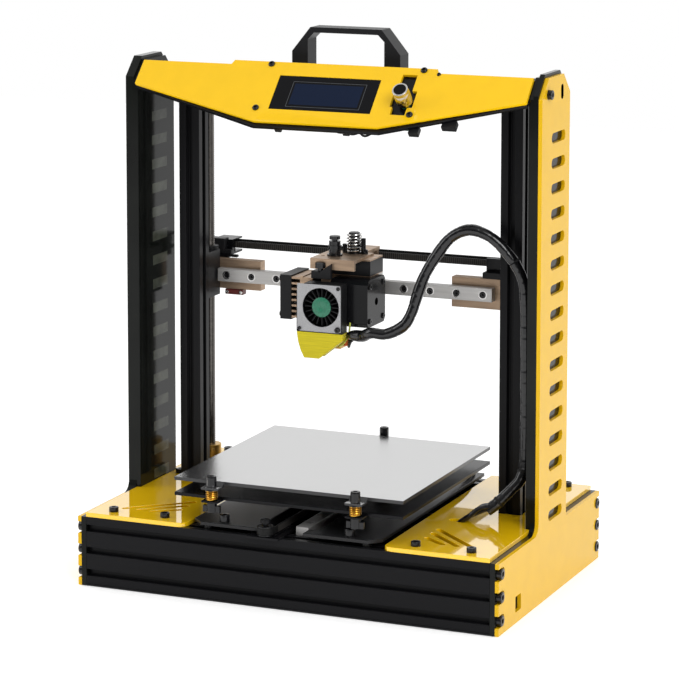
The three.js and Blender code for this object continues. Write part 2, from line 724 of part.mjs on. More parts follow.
// ---- Bed ----
const bedHalf = 107;
const bedY = [10.5, 224.5];
const earReach = 8.5; // from a plate's edge to the levelling screw in its ear
const levelScrews = {
  left: [-67, bedY[0] - earReach],
  right: [67, bedY[0] - earReach],
  rear: [0, bedY[1] + earReach],
};

function addBed() {
  const plateZ = [101, 104];
  const earZ = [98.8, 100.8];
  const supportZ = [87.5, 90.5];
  const nutLow = 78.5;
  const [blockFrom, blockTo] = [93, 138.4];
  const railTop = baseTop + railSize[1];
  const blockZ = [baseTop + 3, railTop + 5];

  const channel = railSize[0] / 2 + 2 * fit;
  add("bed_carriage", cut(
    box([bedRailX - 13.5, bedRailX + 13.5], [blockFrom, blockTo], blockZ),
    box(
      [bedRailX - channel, bedRailX + channel],
      [blockFrom - 1, blockTo + 1],
      [blockZ[0] - 1, railTop + 2 * fit],
    ),
  ), "steel");

  // An ear's side view: distances out from the plate's edge, and heights. The top plate's ears are bent down.
  const bent = [
    [-3.5, plateZ[0]], [-3.5, plateZ[1]], [0, plateZ[1]], [4, earZ[1]],
    [13.5, earZ[1]], [13.5, earZ[0]], [2.8, earZ[0]], [-1, plateZ[0]],
  ];
  const flat = [[-3.5, supportZ[0]], [-3.5, supportZ[1]], [2, supportZ[0] + 1.5], [13.5, supportZ[0] + 1.5],
    [13.5, supportZ[0]]];
  const ears = (sideView) => Object.values(levelScrews).map(([x, y]) => {
    const out = y < bedY[0] ? -1 : 1;
    const edge = y - out * earReach;
    return prism("x", outline(sideView.map(([away, z]) => [edge + out * away, z])), [x - 8, x + 8]);
  });
  const screwHoles = Object.values(levelScrews).map((at) => bore("z", 1.5, at, [80, 110], 12));

  const strand = bedBeltX + beltInner + beltThick;
  add("bed_support", cut(
    join(
      box([-bedHalf, bedHalf], bedY, supportZ),
      box([bedRailX - 14, bedRailX + 14], [blockFrom, blockTo], [blockZ[1] + contact, supportZ[0] + 1]),
      box([strand + gap, strand + gap + 3.5], [100, 130], [coverTop, supportZ[0] + 1]),
      ...ears(flat),
    ),
    ...screwHoles,
  ), "blackMetal");
  const topPlate = join(box([-bedHalf, bedHalf], bedY, plateZ), ...ears(bent));
  add("bed_plate", cut(topPlate, ...screwHoles), "blackMetal");

  for (const [name, at] of Object.entries(levelScrews)) {
    const wing = box([at[0] - 8, at[0] + 8], [at[1] - 1.5, at[1] + 1.5], [nutLow, nutLow + 6]);
    add("level_screw_" + name, join(
      rod("z", 4.3, at, [earZ[1] + contact, earZ[1] + 8.5], 12),
      rod("z", 1.5, at, [nutLow, earZ[1] + 1], 12),
      rod("z", 4.5, at, [nutLow, supportZ[0] - contact], 12),
      wing,
    ), "steel");
  }
}

// ---- Cables ----
// The sleeved bundle from the print head, over in an arch, down past the right post and into the base.
function addCables() {
  const path = [
    [16, 121, 218], [26, 117, 219], [37, 110, 224], [51, 111, 224], [66, 113, 232], [73, 115, 244],
    [77, 117, 258], [83, 119, 276], [93, 121, 294], [106, 122, 311], [122, 123, 319], [137, 125, 316],
    [150, 127, 307], [162, 129, 293], [169, 130, 279], [172, 131, 259], [173, 131, 190], [173, 130, 122],
    [171, 127, 104], [163, 122, 93], [154, 117, 83], [145, 112, 75], [136, 108, 71.5],
  ].map((p) => new THREE.Vector3(...p));
  const section = new THREE.Shape().absarc(0, 0, 5, 0, 2 * Math.PI);
  const g = new THREE.ExtrudeGeometry(section, {
    steps: 44,
    curveSegments: 5,
    extrudePath: new THREE.CatmullRomCurve3(path),
  });
  add("cable_bundle", g, "rubber");
}

addBase();
addCovers();
addCentrePlate();
addBedDrive();
addController();
addTowers();
addHandle();
addConsole();
addLift();
addGantry();

const head = new THREE.Group();
head.position.set(carriageX, 0, railZ);
printer.add(head);
addExtruder(head);
addCarriage(head);
addFan(head);
addBlower(head);

addBed();
addCables();

export default printer;
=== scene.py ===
"""Looks for the desktop filament printer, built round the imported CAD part."""

import math

import bmesh
import bpy
from mathutils import Matrix, Vector


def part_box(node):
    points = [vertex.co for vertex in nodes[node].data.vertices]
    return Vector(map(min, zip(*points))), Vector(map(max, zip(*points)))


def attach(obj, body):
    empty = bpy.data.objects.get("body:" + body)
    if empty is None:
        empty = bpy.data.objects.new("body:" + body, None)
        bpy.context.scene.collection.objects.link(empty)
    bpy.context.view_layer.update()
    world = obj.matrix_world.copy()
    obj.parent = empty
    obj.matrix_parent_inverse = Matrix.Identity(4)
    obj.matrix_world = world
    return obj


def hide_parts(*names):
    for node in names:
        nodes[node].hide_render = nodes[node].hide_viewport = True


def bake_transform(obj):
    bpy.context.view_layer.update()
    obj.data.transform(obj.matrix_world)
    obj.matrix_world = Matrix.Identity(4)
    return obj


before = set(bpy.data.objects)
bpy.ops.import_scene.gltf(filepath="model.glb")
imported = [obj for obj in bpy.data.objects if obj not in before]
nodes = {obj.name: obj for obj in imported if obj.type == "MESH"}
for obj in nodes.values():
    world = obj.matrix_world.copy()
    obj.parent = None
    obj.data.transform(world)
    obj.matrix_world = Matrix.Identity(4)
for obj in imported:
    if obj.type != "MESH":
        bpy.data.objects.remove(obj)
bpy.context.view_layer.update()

MM = 0.001
TAU = 2 * math.pi
UP = Vector((0, 0, 1))


# ---- Shapes: all lengths in millimetres, in the part's own frame ----
def span(node):
    """Lowest and highest corner of a CAD node, in millimetres."""
    low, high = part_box(node)
    return low / MM, high / MM


def upright(direction):
    """The turn that takes +Z to a direction."""
    return Vector(direction).to_track_quat("Z", "Y").to_matrix().to_4x4()


def place(point, direction=UP):
    """Puts the origin on a point, with +Z along a direction."""
    return Matrix.Translation(Vector(point)) @ upright(direction)


def add_box(bm, low, high, matrix=Matrix.Identity(4)):
    """A box between its lowest and highest corner."""
    low, high = Vector(low), Vector(high)
    size = Matrix.Diagonal((*(high - low), 1))
    bmesh.ops.create_cube(bm, size=1, matrix=matrix @ Matrix.Translation((low + high) / 2) @ size)


def add_rings(bm, rings, loop=False):
    """A skin over rings of as many points each, closed at its ends or joined into a loop."""
    made = [[bm.verts.new(p) for p in ring] for ring in rings]
    count = len(made[0])
    following = made[1:] + made[:1] if loop else made[1:]
    for a, b in zip(made, following):
        for i in range(count):
            j = (i + 1) % count
            bm.faces.new((a[i], a[j], b[j], b[i]))
    if not loop:
        bm.faces.new(list(reversed(made[0])))
        bm.faces.new(made[-1])


def add_turned(bm, profile, matrix, sides=24, shape=None):
    """A turned solid. The profile is (radius, height) pairs; shape(angle, index) scales the radius."""
    rings = []
    for k, (radius, height) in enumerate(profile):
        ring = []
        for i in range(sides):
            a = TAU * i / sides
            r = radius
            if shape:
                r *= shape(a, k)
            ring.append(matrix @ Vector((r * math.cos(a), r * math.sin(a), height)))
        rings.append(ring)
    add_rings(bm, rings)


def add_hoop(bm, section, matrix, sides=32):
    """A closed ring round +Z; its section is (radius, height) pairs."""
    rings = []
    for k in range(sides):
        c, s = math.cos(TAU * k / sides), math.sin(TAU * k / sides)
        rings.append([matrix @ Vector((c * r, s * r, h)) for r, h in section])
    add_rings(bm, rings, loop=True)


def add_tube(bm, points, radius, sides=8):
    """A round tube through points; radius is a number or a function of the point's index."""
    points = [Vector(p) for p in points]
    last = len(points) - 1
    side = None
    rings = []
    for k, p in enumerate(points):
        before = points[k - 1] if k else p
        after = points[k + 1] if k < last else p
        along = (after - before).normalized()
        if side is None:
            side = along.orthogonal().normalized()
        side = (side - along * side.dot(along)).normalized()
        other = along.cross(side)
        r = radius(k) if callable(radius) else radius
        ring = []
        for i in range(sides):
            a = TAU * i / sides
            ring.append(p + (side * math.cos(a) + other * math.sin(a)) * r)
        rings.append(ring)
    add_rings(bm, rings)


def curve_through(points, steps):
    """Points along a smooth curve through the given ones."""
    points = [Vector(p) for p in points]
    ends = [points[0] * 2 - points[1], *points, points[-1] * 2 - points[-2]]
    made = []
    for a, b, c, d in zip(ends, ends[1:], ends[2:], ends[3:]):
        for k in range(steps):
            t = k / steps
            bend = (2 * a - 5 * b + 4 * c - d) * t ** 2
            twist = (3 * b - a - 3 * c + d) * t ** 3
            made.append(0.5 * (2 * b + (c - a) * t + bend + twist))
    made.append(points[-1])
    return made


def hexagon(angle):
    """How far a hexagon's edge lies from its middle, as a share of its inner radius."""
    return 1 / math.cos((angle + math.pi / 6) % (math.pi / 3) - math.pi / 6)


def knurled(sides, depth, first=0):
    """A shape for add_turned: every other corner is drawn in, from the first ring that is knurled."""
    def shape(angle, index):
        even = round(angle / TAU * sides) % 2 == 0
        return depth if even and index >= first else 1
    return shape


def add_screw(bm, point, direction, radius=4.0, height=4.0, domed=False, shank=1.0):
    """A socket screw's head standing on a point, with a six-sided socket and a short shank below."""
    socket = radius * 0.45
    edge = radius * (0.45 if domed else 0.12)
    profile = [(radius * 0.5, -shank), (radius * 0.5, 0), (radius, 0), (radius, height - edge)]
    for k in range(1, 4):
        turn = math.pi / 2 * k / 3
        profile.append((radius - edge * (1 - math.cos(turn)), height - edge + edge * math.sin(turn)))
    socket_from = len(profile)
    profile += [(socket, height), (socket, height * 0.35)]
    add_turned(bm, profile, place(point, direction), 24,
               lambda a, k: hexagon(a) if k >= socket_from else 1)


def finish_mesh(name, bm, material, body, smooth, bevel):
    """A named piece that rides on a body, or on none."""
    bmesh.ops.recalc_face_normals(bm, faces=bm.faces)
    bmesh.ops.scale(bm, vec=(MM, MM, MM), verts=bm.verts)
    mesh = bpy.data.meshes.new(name)
    bm.to_mesh(mesh)
    bm.free()
    made = bpy.data.objects.new(name, mesh)
    bpy.context.scene.collection.objects.link(made)
    mesh.materials.append(material)
    mesh.shade_smooth()
    mesh.set_sharp_from_angle(angle=math.radians(smooth))
    if bevel:
        soften(made, bevel)
    if body:
        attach(made, body)
    return made


def weld(thing):
    """Joins the corners that neighbouring faces of a CAD node share."""
    joined = thing.modifiers.new("weld", "WELD")
    joined.merge_threshold = 1e-6


def soften(thing, width):
    """Rounds the sharp edges so that they catch the light."""
    rounding = thing.modifiers.new("rounding", "BEVEL")
    rounding.width = width * MM
    rounding.segments = 2
    rounding.limit_method = "ANGLE"
    rounding.angle_limit = math.radians(40)
    rounding.harden_normals = True


# ---- Materials ----
class Paint:
    """A procedural material: one shader, with grain in its colour, roughness and surface."""

    def __init__(self, name, color, roughness, metallic=0.0, coat=0.0, specular=0.5,
                 grain=0.04, scale=400, bump=0.02, stretch=(1, 1, 1)):
        self.material = bpy.data.materials.new(name)
        self.material.use_nodes = True
        self.tree = self.material.node_tree
        self.shader = self.tree.nodes["Principled BSDF"]
        self.set("Metallic", metallic)
        self.set("Coat Weight", coat)
        self.set("Coat Roughness", 0.03)
        self.set("Specular IOR Level", specular)
        mapping = self.add("ShaderNodeMapping")
        mapping.inputs["Scale"].default_value = stretch
        self.link(self.add("ShaderNodeTexCoord").outputs["Object"], mapping.inputs["Vector"])
        noise = self.add("ShaderNodeTexNoise")
        noise.inputs["Scale"].default_value = scale
        noise.inputs["Detail"].default_value = 3
        self.link(mapping.outputs[0], noise.inputs["Vector"])
        spots = noise.outputs["Fac"]
        dark = [c * (1 - grain) for c in color]
        light = [min(1, c * (1 + grain)) for c in color]
        self.link(self.ramp(spots, [(0.3, dark), (0.7, light)]), self.shader.inputs["Base Color"])
        rough = self.add("ShaderNodeMapRange")
        rough.inputs["To Min"].default_value = roughness * 0.85
        rough.inputs["To Max"].default_value = min(1, roughness * 1.15)
        self.link(spots, rough.inputs["Value"])
        self.link(rough.outputs[0], self.shader.inputs["Roughness"])
        if bump:
            raised = self.add("ShaderNodeBump")
            raised.inputs["Strength"].default_value = bump
            raised.inputs["Distance"].default_value = 0.0002
            self.link(spots, raised.inputs["Height"])
            self.link(raised.outputs[0], self.shader.inputs["Normal"])

    def add(self, kind):
        return self.tree.nodes.new(kind)

    def link(self, a, b):
        self.tree.links.new(a, b)

    def set(self, socket, value):
        self.shader.inputs[socket].default_value = value

    def by_height(self, socket, on_sides, on_top):
        """Gives a socket one value on faces that look up and another on the rest."""
        facing = self.add("ShaderNodeSeparateXYZ")
        self.link(self.add("ShaderNodeNewGeometry").outputs["True Normal"], facing.inputs[0])
        level = self.add("ShaderNodeMapRange")
        level.inputs["From Min"].default_value = 0.8
        level.inputs["From Max"].default_value = 0.98
        level.inputs["To Min"].default_value = on_sides
        level.inputs["To Max"].default_value = on_top
        self.link(facing.outputs["Z"], level.inputs["Value"])
        self.link(level.outputs[0], self.shader.inputs[socket])

    def ramp(self, factor, stops):
        """A colour that follows a factor through (position, colour) stops."""
        made = self.add("ShaderNodeValToRGB")
        bar = made.color_ramp
        while len(bar.elements) < len(stops):
            bar.elements.new(0.5)
        for element, (position, color) in zip(bar.elements, stops):
            element.position = position
            element.color = (*color, 1)
        self.link(factor, made.inputs["Fac"])
        return made.outputs["Color"]


def paint(name, color, roughness, **rest):
    """The material of a Paint that needs nothing more."""
    return Paint(name, color, roughness, **rest).material


# Blacks
anodised_paint = Paint("black_anodised", (0.006, 0.006, 0.007), 0.3, scale=900, bump=0.05)
anodised_paint.by_height("Specular IOR Level", 0.12, 1.0)
black_anodised = anodised_paint.material
black_plate = paint("black_plate", (0.005, 0.005, 0.006), 0.2, scale=500, specular=0.16)
black_plastic = paint("black_plastic", (0.012, 0.012, 0.013), 0.36, scale=1500, bump=0.12,
                      specular=0.14)
black_screw = paint("black_screw", (0.005, 0.005, 0.006), 0.2, scale=1200, bump=0.03, specular=0.4)
speckled = paint("speckled", (0.012, 0.012, 0.013), 0.32, grain=0.6, scale=1500, bump=0.6,
                 specular=0.3)
rubber = paint("rubber", (0.007, 0.007, 0.007), 0.5, scale=1500, bump=0.1, specular=0.2)
belt_rib = paint("belt_rib", (0.05, 0.046, 0.042), 0.5, scale=1500, bump=0.1, specular=0.2)
sleeve = paint("sleeve", (0.005, 0.005, 0.006), 0.2, grain=0.2, scale=900, bump=0.1)
# Painted shade: a flat, dull black that stands for the shade inside a slot or a bore
hole_shade = paint("hole_shade", (0.001, 0.001, 0.001), 0.9, specular=0.0)

# The smoky plates of the towers, and the light that falls through them
smoky = paint("smoky_plate", (0.006, 0.007, 0.006), 0.1, grain=0.5, scale=14, bump=0.0, specular=0.15)
window_glow = paint("window_glow", (0.050, 0.055, 0.042), 0.15, grain=0.4, scale=60, bump=0.0,
                    specular=0.2)

# The bed's face: a mirror to the room overhead, dull at its edges
bed_paint = Paint("bed_face", (0.03, 0.03, 0.031), 0.2, grain=0.4, scale=1700, bump=0.3, specular=1.0)
bed_paint.by_height("IOR", 1.3, 3.6)
bed_face = bed_paint.material

# Yellows
yellow_sheet = dict(grain=0.02, scale=60, bump=0.0)
yellow = paint("yellow_console", (0.88, 0.53, 0.004), 0.14, coat=0.1, specular=0.25, **yellow_sheet)
yellow_side = paint("yellow_side", (0.74, 0.44, 0.006), 0.16, specular=0.2, **yellow_sheet)
yellow_gloss = paint("yellow_gloss", (1.0, 0.60, 0.004), 0.05, coat=1.0, **yellow_sheet)
lemon = paint("lemon_print", (0.56, 0.47, 0.015), 0.5, grain=0.12, scale=260, stretch=(0.2, 0.2, 6),
              bump=0.3, specular=0.2)

# Metals
champagne = paint("champagne", (0.36, 0.255, 0.175), 0.42, metallic=0.8, grain=0.3, scale=160,
                  stretch=(0.12, 1, 1), bump=0.08)
steel = paint("steel", (0.50, 0.49, 0.48), 0.42, metallic=0.7, grain=0.1, scale=300,
              stretch=(0.05, 1, 1))
dark_steel = paint("dark_steel", (0.14, 0.13, 0.12), 0.3, metallic=1.0, grain=0.25, scale=500)
chrome = paint("chrome", (0.55, 0.54, 0.53), 0.16, metallic=1.0, grain=0.02, scale=200, bump=0.0)
brass = paint("brass", (0.50, 0.31, 0.09), 0.32, metallic=1.0, grain=0.12, scale=600)
gold_wire = paint("gold_wire", (0.62, 0.32, 0.04), 0.3, metallic=1.0, grain=0.1, scale=600)
silver_face = paint("silver_face", (0.36, 0.36, 0.37), 0.42, metallic=0.4, grain=0.15, scale=1500,
                    bump=0.1)

# Screen, boards and wires
bezel = paint("bezel", (0.003, 0.003, 0.004), 0.1, grain=0.1, scale=50, bump=0.0, specular=0.1)
bezel_line = paint("bezel_line", (0.05, 0.055, 0.06), 0.3, grain=0.1, scale=300, bump=0.0)
display = paint("display", (0.002, 0.008, 0.028), 0.12, grain=0.08, scale=900, bump=0.0,
                specular=0.12)
board = paint("board", (0.01, 0.09, 0.05), 0.35, grain=0.3, scale=700, bump=0.1)
green = paint("green_hub", (0.02, 0.16, 0.09), 0.4, grain=0.4, scale=900, bump=0.1)
orange = paint("orange_sleeve", (0.75, 0.16, 0.02), 0.5, grain=0.1, scale=900)
red = paint("red_wire", (0.45, 0.01, 0.01), 0.35, grain=0.1, scale=900)
blue = paint("blue_wire", (0.02, 0.06, 0.35), 0.35, grain=0.1, scale=900)
maroon = paint("maroon", (0.10, 0.012, 0.010), 0.4, grain=0.2, scale=600)
lime = paint("lime_wire", (0.55, 0.60, 0.10), 0.4, grain=0.1, scale=900)

looks = {
    black_anodised: ["front_beam", "rear_beam", "centre_beam", "post_left", "post_right", "top_beam"],
    black_plate: ["bottom_plate", "console_backplate", "y_idler_bracket", "y_motor", "z_motor_left",
                  "z_motor_right", "x_motor", "x_idler_bracket", "extruder_motor", "bed_support"],
    smoky: ["side_plate_left", "side_plate_right"],
    speckled: ["centre_plate"],
    bed_face: ["bed_plate"],
    yellow: ["console_panel"],
    yellow_side: ["side_panel_left", "side_panel_right"],
    yellow_gloss: ["base_cover_left", "base_cover_right"],
    lemon: ["air_duct"],
    black_plastic: ["handle", "z_block_left", "z_block_right", "pressure_lever", "fan_frame",
                    "fan_rotor", "blower_housing", "blower_wheel"],
    champagne: ["end_block_left", "end_block_right", "carriage_bracket", "extruder_block", "heat_sink"],
    steel: ["y_rail", "x_rail", "carriage_block", "bed_carriage", "encoder_shaft", "x_drive_pulley",
            "y_drive_pulley"],
    dark_steel: ["lead_screw_left", "lead_screw_right"],
    black_screw: ["y_idler_pulley", "level_screw_left", "level_screw_right", "level_screw_rear"],
    chrome: ["control_knob"],
    brass: ["drive_gear", "hot_end"],
    rubber: ["x_belt", "y_belt"],
    sleeve: ["cable_bundle"],
    board: ["controller_board", "display_module"],
}
NODE_ROUNDING = 0.35
for material, names in looks.items():
    for name in names:
        nodes[name].data.materials.clear()
        nodes[name].data.materials.append(material)
        weld(nodes[name])
        soften(nodes[name], NODE_ROUNDING)

# ---- Where things are ----
# x from the middle, y back from the base's front face, z up from the table.
FRONT = span("front_beam")[0].y
BACK = span("rear_beam")[1].y - FRONT
SIDE_FACE = span("side_plate_right")[1].x
PANEL_FACE = span("side_panel_right")[1].x
COVER_TOP = span("base_cover_left")[1].z
PLATE_TOP = span("centre_plate")[1].z
BOTH = (-1, 1)


def at(x, y, z):
    """A point of the printer, in the part's own frame."""
    return Vector((x, FRONT + y, z))


def piece(name, material, body, draw, smooth=35, bevel=0.0):
    """One named piece: draw(bm) adds its shapes."""
    bm = bmesh.new()
    draw(bm)
    return finish_mesh(name, bm, material, body, smooth, bevel)


# ---- Screws on the base and the side panels ----
BEAM_SCREW_INSET = 7
BEAM_SCREW_ROWS = (12, 32, 52)
PANEL_SCREW = (115.6, 441)
COVER_SCREWS = ((167.5, 13), (117.5, 13), (175, 163), (169.5, 257))
PLATE_SCREW_X = 58.5
PLATE_SCREW_ROWS = (10, 254)


def base_screws(bm):
    """The screws into the ends of the base beams, the panels, the covers and the centre plate."""
    for side in BOTH:
        out = (side, 0, 0)
        for y in (BEAM_SCREW_INSET, BACK - BEAM_SCREW_INSET):
            for z in BEAM_SCREW_ROWS:
                add_screw(bm, at(side * SIDE_FACE, y, z), out, 4.7, 4.8)
        add_screw(bm, at(side * PANEL_FACE, *PANEL_SCREW), out, 4.2, 4)
        for x, y in COVER_SCREWS:
            add_screw(bm, at(side * x, y, COVER_TOP), UP, 4.2, 4.2)
        for y in PLATE_SCREW_ROWS:
            add_screw(bm, at(side * PLATE_SCREW_X, y, PLATE_TOP), UP, 4.4, 6.5)


piece("base_screws", black_screw, "frame", base_screws)


PANEL_SLOT = (152, 440)
PANEL_SLOT_RADIUS = 3
PANEL_SLOT_RISE = 3.5


def slot_shade(bm):
    """The upright slot beside the upper screw of each side panel, as a dark sheet: partly the dark plate
    behind it, partly painted shade.
    """
    half = Vector((0.15, PANEL_SLOT_RADIUS, PANEL_SLOT_RISE))
    profile = [(PANEL_SLOT_RADIUS, -0.2), (PANEL_SLOT_RADIUS, 0.15)]
    for side in BOTH:
        slot = at(side * PANEL_FACE, *PANEL_SLOT)
        for end in BOTH:
            add_turned(bm, profile, place(slot + UP * PANEL_SLOT_RISE * end, (side, 0, 0)), 16)
        add_box(bm, slot - half, slot + half)


piece("panel_slots", hole_shade, "frame", slot_shade)

VENT_FIRST, VENT_PITCH, VENT_COUNT = 72, 22, 16
VENT_HALF = 4.5
VENT_FRONT, VENT_BACK = 128, 158


def vent_windows(bm):
    """The left panel's vents, faintly seen through the smoky plate inside the tower."""
    inner = span("side_plate_left")[1].x
    for k in range(VENT_COUNT):
        z = VENT_FIRST + k * VENT_PITCH
        low = at(inner - 0.2, VENT_FRONT, z - VENT_HALF)
        add_box(bm, low, at(inner + 0.05, VENT_BACK, z + VENT_HALF))


piece("vent_windows", window_glow, "frame", vent_windows)

# ---- Console: a panel leaning back by 45 degrees, drawn in its own plane ----
console = Matrix.Translation(at(0, 93.5, 436)) @ Matrix.Rotation(math.radians(45), 4, "X")

# Across, up the panel, and the head's radius
CONSOLE_SCREWS = ((-59.4, 28.8, 3), (-59.4, -20.3, 3), (84.1, 29.6, 3), (84.1, -19.2, 3),
                  (98.6, 26, 1.8))


def console_screws(bm):
    """Domed screws round the screen and the knob."""
    for x, rise, radius in CONSOLE_SCREWS:
        foot = console @ Vector((x, rise, 0))
        add_screw(bm, foot, console.to_3x3() @ UP, radius, radius * 0.6, domed=True)


piece("console_screws", black_screw, "frame", console_screws)

SCREEN_LOW, SCREEN_HIGH = Vector((-47.4, -20.1, -0.6)), Vector((47.4, 16.7, -0.2))
PICTURE_LOW, PICTURE_HIGH = Vector((-30.3, -14.6, -0.3)), Vector((34.1, 8.6, 0.0))
LINE = Vector((2.4, 2.4, 0))
STEP = Vector((0, 0, 0.1))


def on_screen(low, high):
    """A thin sheet on the console, drawn by piece()."""
    def draw(bm):
        add_box(bm, low, high, console)
    return draw


piece("screen_bezel", bezel, "frame", on_screen(SCREEN_LOW, SCREEN_HIGH))
piece("screen_line", bezel_line, "frame",
      on_screen(PICTURE_LOW - LINE, PICTURE_HIGH + LINE - STEP * 1.6))
piece("screen_border", bezel, "frame",
      on_screen(PICTURE_LOW - LINE * 0.8, PICTURE_HIGH + LINE * 0.8 - STEP))
piece("screen_picture", display, "frame", on_screen(PICTURE_LOW, PICTURE_HIGH))

KNOB = console @ Matrix.Translation((76.5, -6.2, 0))


def knob_grip(bm):
    """The knob's finely grooved grip, between two plain bands."""
    profile = [(7.05, 3.5), (7.25, 4), (7.25, 13.5), (7.05, 14)]
    add_turned(bm, profile, KNOB, 96, knurled(96, 0.975))


def knob_top(bm):
    """The dark disc let into the knob's end."""
    add_turned(bm, [(5.6, 17.8), (5.6, 18.15)], KNOB, 40)


piece("knob_grip", chrome, "control_knob", knob_grip)
piece("knob_top", bezel, "control_knob", knob_top)


# ---- Lifting screws ----
SCREW_X, SCREW_Y = 154, 185
COUPLER = (66.4, 91.3)
THREAD = (COUPLER[1], 429)
LEAD, STARTS = 8, 4


def thread(side):
    """The four-start thread, 8 mm forward in each turn, as low ridges."""
    def draw(bm):
        axis = at(side * SCREW_X, SCREW_Y, 0)
        steps = 16
        count = int((THREAD[1] - THREAD[0] - 1) / LEAD * steps)
        for start in range(STARTS):
            rings = []
            for k in range(count):
                a = TAU * (k / steps + start / STARTS)
                z = THREAD[0] + 0.6 + k * LEAD / steps
                ring = [(3.85, z - 0.6), (4.35, z - 0.2), (4.35, z + 0.2), (3.85, z + 0.6)]
                rings.append([axis + Vector((r * math.cos(a), r * math.sin(a), h)) for r, h in ring])
            add_rings(bm, rings)
    return draw


def coupler(side):
    """A clamping coupler with a turned groove in its middle."""
    def draw(bm):
        low, high = COUPLER
        half = (low + high) / 2
        profile = [(9.3, low), (9.7, low + 0.4), (9.7, half - 1), (9.2, half - 0.8), (9.2, half + 0.8),
                   (9.7, half + 1), (9.7, high - 0.4), (9.3, high)]
        foot = at(side * SCREW_X, SCREW_Y, 0)
        add_turned(bm, profile, Matrix.Translation(foot), 40)
        for turn in (0.9, 0.9 + math.pi):
            out = Vector((-side * math.cos(turn), -math.sin(turn), 0))
            for z in (low + 5, high - 5):
                add_screw(bm, foot + out * 9 + UP * z, out, 2, 0.9)
    return draw


for side, name in zip(BOTH, ("left", "right")):
    piece("thread_" + name, dark_steel, "lead_screw_" + name, thread(side))
    piece("coupler_" + name, brass, "lead_screw_" + name, coupler(side))


# ---- Gantry: rail screws, bracket screws, belt teeth ----
FORWARD = (0, -1, 0)
RAIL_Z = 251.4
RAIL_FACE = 180.4
RAIL_FIRST, RAIL_PITCH, RAIL_COUNT = -135.35, 25, 11
SEAT_DEPTH = 4.3


def rail_screws(bm):
    """The screws sunk in the gantry's rail."""
    for k in range(RAIL_COUNT):
        point = at(RAIL_FIRST + k * RAIL_PITCH, RAIL_FACE + SEAT_DEPTH, RAIL_Z)
        add_screw(bm, point, FORWARD, 2.9, 3, shank=0.2)


piece("rail_screws", black_screw, "gantry", rail_screws)


BED_RAIL = (11.8, 34, 65.6)
BED_RAIL_COUNT = 9


def bed_rail_screws(bm):
    """The screws sunk in the bed's rail, from front to back."""
    x, y, z = BED_RAIL
    for k in range(BED_RAIL_COUNT):
        add_screw(bm, at(x, y + k * RAIL_PITCH, z), UP, 2.9, 3, shank=0.2)


piece("bed_rail_screws", black_screw, "frame", bed_rail_screws)


BELT_RADIUS, BELT_THICK, BELT_WIDTH = 6.2, 1.4, 6
BELT_PITCH = 2


def belt_ridges(first, last, away, depth, z, width):
    """Ridges across a belt's two straight runs, away from the line between its turning points."""
    def draw(bm):
        along = (last - first).normalized()
        across = UP.cross(along)
        reach = Vector([abs(v) for v in along * 0.5 + across * depth])
        for k in range(1, int((last - first).length / BELT_PITCH)):
            for side in BOTH:
                p = first + along * k * BELT_PITCH + across * side * away
                add_box(bm, p - reach + UP * z, p + reach + UP * (z + width))
    return draw


# The straight runs' ends and the height of the lower edge
belts = {
    ("x_belt", "gantry"): (at(-142, 220, 0), at(140, 220, 0), 271.5),
    ("y_belt", "frame"): (at(-15.3, 8, 0), at(-15.3, 217, 0), 65.4),
}
TEETH_AWAY = BELT_RADIUS - 0.3
RIBS_AWAY = BELT_RADIUS + BELT_THICK + 0.05
RIB_INSET = 0.3
for (name, body), (first, last, z) in belts.items():
    piece(name + "_teeth", rubber, body,
          belt_ridges(first, last, TEETH_AWAY, 0.35, z, BELT_WIDTH))
    piece(name + "_ribs", belt_rib, body,
          belt_ridges(first, last, RIBS_AWAY, 0.2, z + RIB_INSET, BELT_WIDTH - 2 * RIB_INSET))

MOTOR_HALF_PITCH = 15.5
X_MOTOR = (149.5, 220, 270)
GUIDE_SCREW = (149, 162.7, RAIL_Z + 1.6)


def gantry_screws(bm):
    """Four screws on the belt's motor and two on each sliding block."""
    x, y, z = X_MOTOR
    for dx in BOTH:
        for dy in BOTH:
            point = at(x + dx * MOTOR_HALF_PITCH, y + dy * MOTOR_HALF_PITCH, z)
            add_screw(bm, point, UP, 2.7, 2.6)
    x, y, z = GUIDE_SCREW
    for side in BOTH:
        for dz in BOTH:
            add_screw(bm, at(side * x, y, z + dz * 15), FORWARD, 1.8, 0.8)


piece("gantry_screws", black_screw, "gantry", gantry_screws)


END_STOP = at(-131, 190, RAIL_Z - 16.5)


def end_stop(bm):
    """The little switch under the rail's left end."""
    add_box(bm, END_STOP - Vector((9, 2.5, 2.4)), END_STOP + Vector((9, 5, 2.4)))


def end_stop_screws(bm):
    """The two bright screws of the end stop."""
    for side in BOTH:
        add_screw(bm, END_STOP + Vector((7 * side, -2.5, 0)), FORWARD, 1.7, 1)


piece("end_stop", maroon, "gantry", end_stop, bevel=0.4)
piece("end_stop_screws", chrome, "gantry", end_stop_screws)


def rail_rings(bm):
    """The bright rims of the rail's screw seats."""
    section = ((3.15, -0.3), (3.15, 0.05), (3.9, 0.02), (3.9, -0.3))
    for k in range(RAIL_COUNT):
        add_hoop(bm, section, place(at(RAIL_FIRST + k * RAIL_PITCH, RAIL_FACE, RAIL_Z), FORWARD))


piece("rail_rings", chrome, "gantry", rail_rings)


def idler_block(bm):
    """The moulded block that carries the belt's free end, with its stepped foot."""
    front = 201.2
    add_box(bm, at(-163, front, RAIL_Z + 10), at(-147, 211.5, RAIL_Z + 30))
    add_box(bm, at(-147, front, RAIL_Z + 13), at(-140, 206.5, RAIL_Z + 20))
    add_box(bm, at(-140, front, RAIL_Z + 13), at(-134, 205.5, RAIL_Z + 15.5))


piece("idler_block", black_plastic, "gantry", idler_block, bevel=0.8)


# ---- Print head, about the middle of its rail block ----
HEAD = at(-5.25, 0, RAIL_Z)


def on_head(x, y, z):
    """A point of the print head: x and z from the rail block's middle, y from the base's front."""
    return HEAD + Vector((x, y, z))


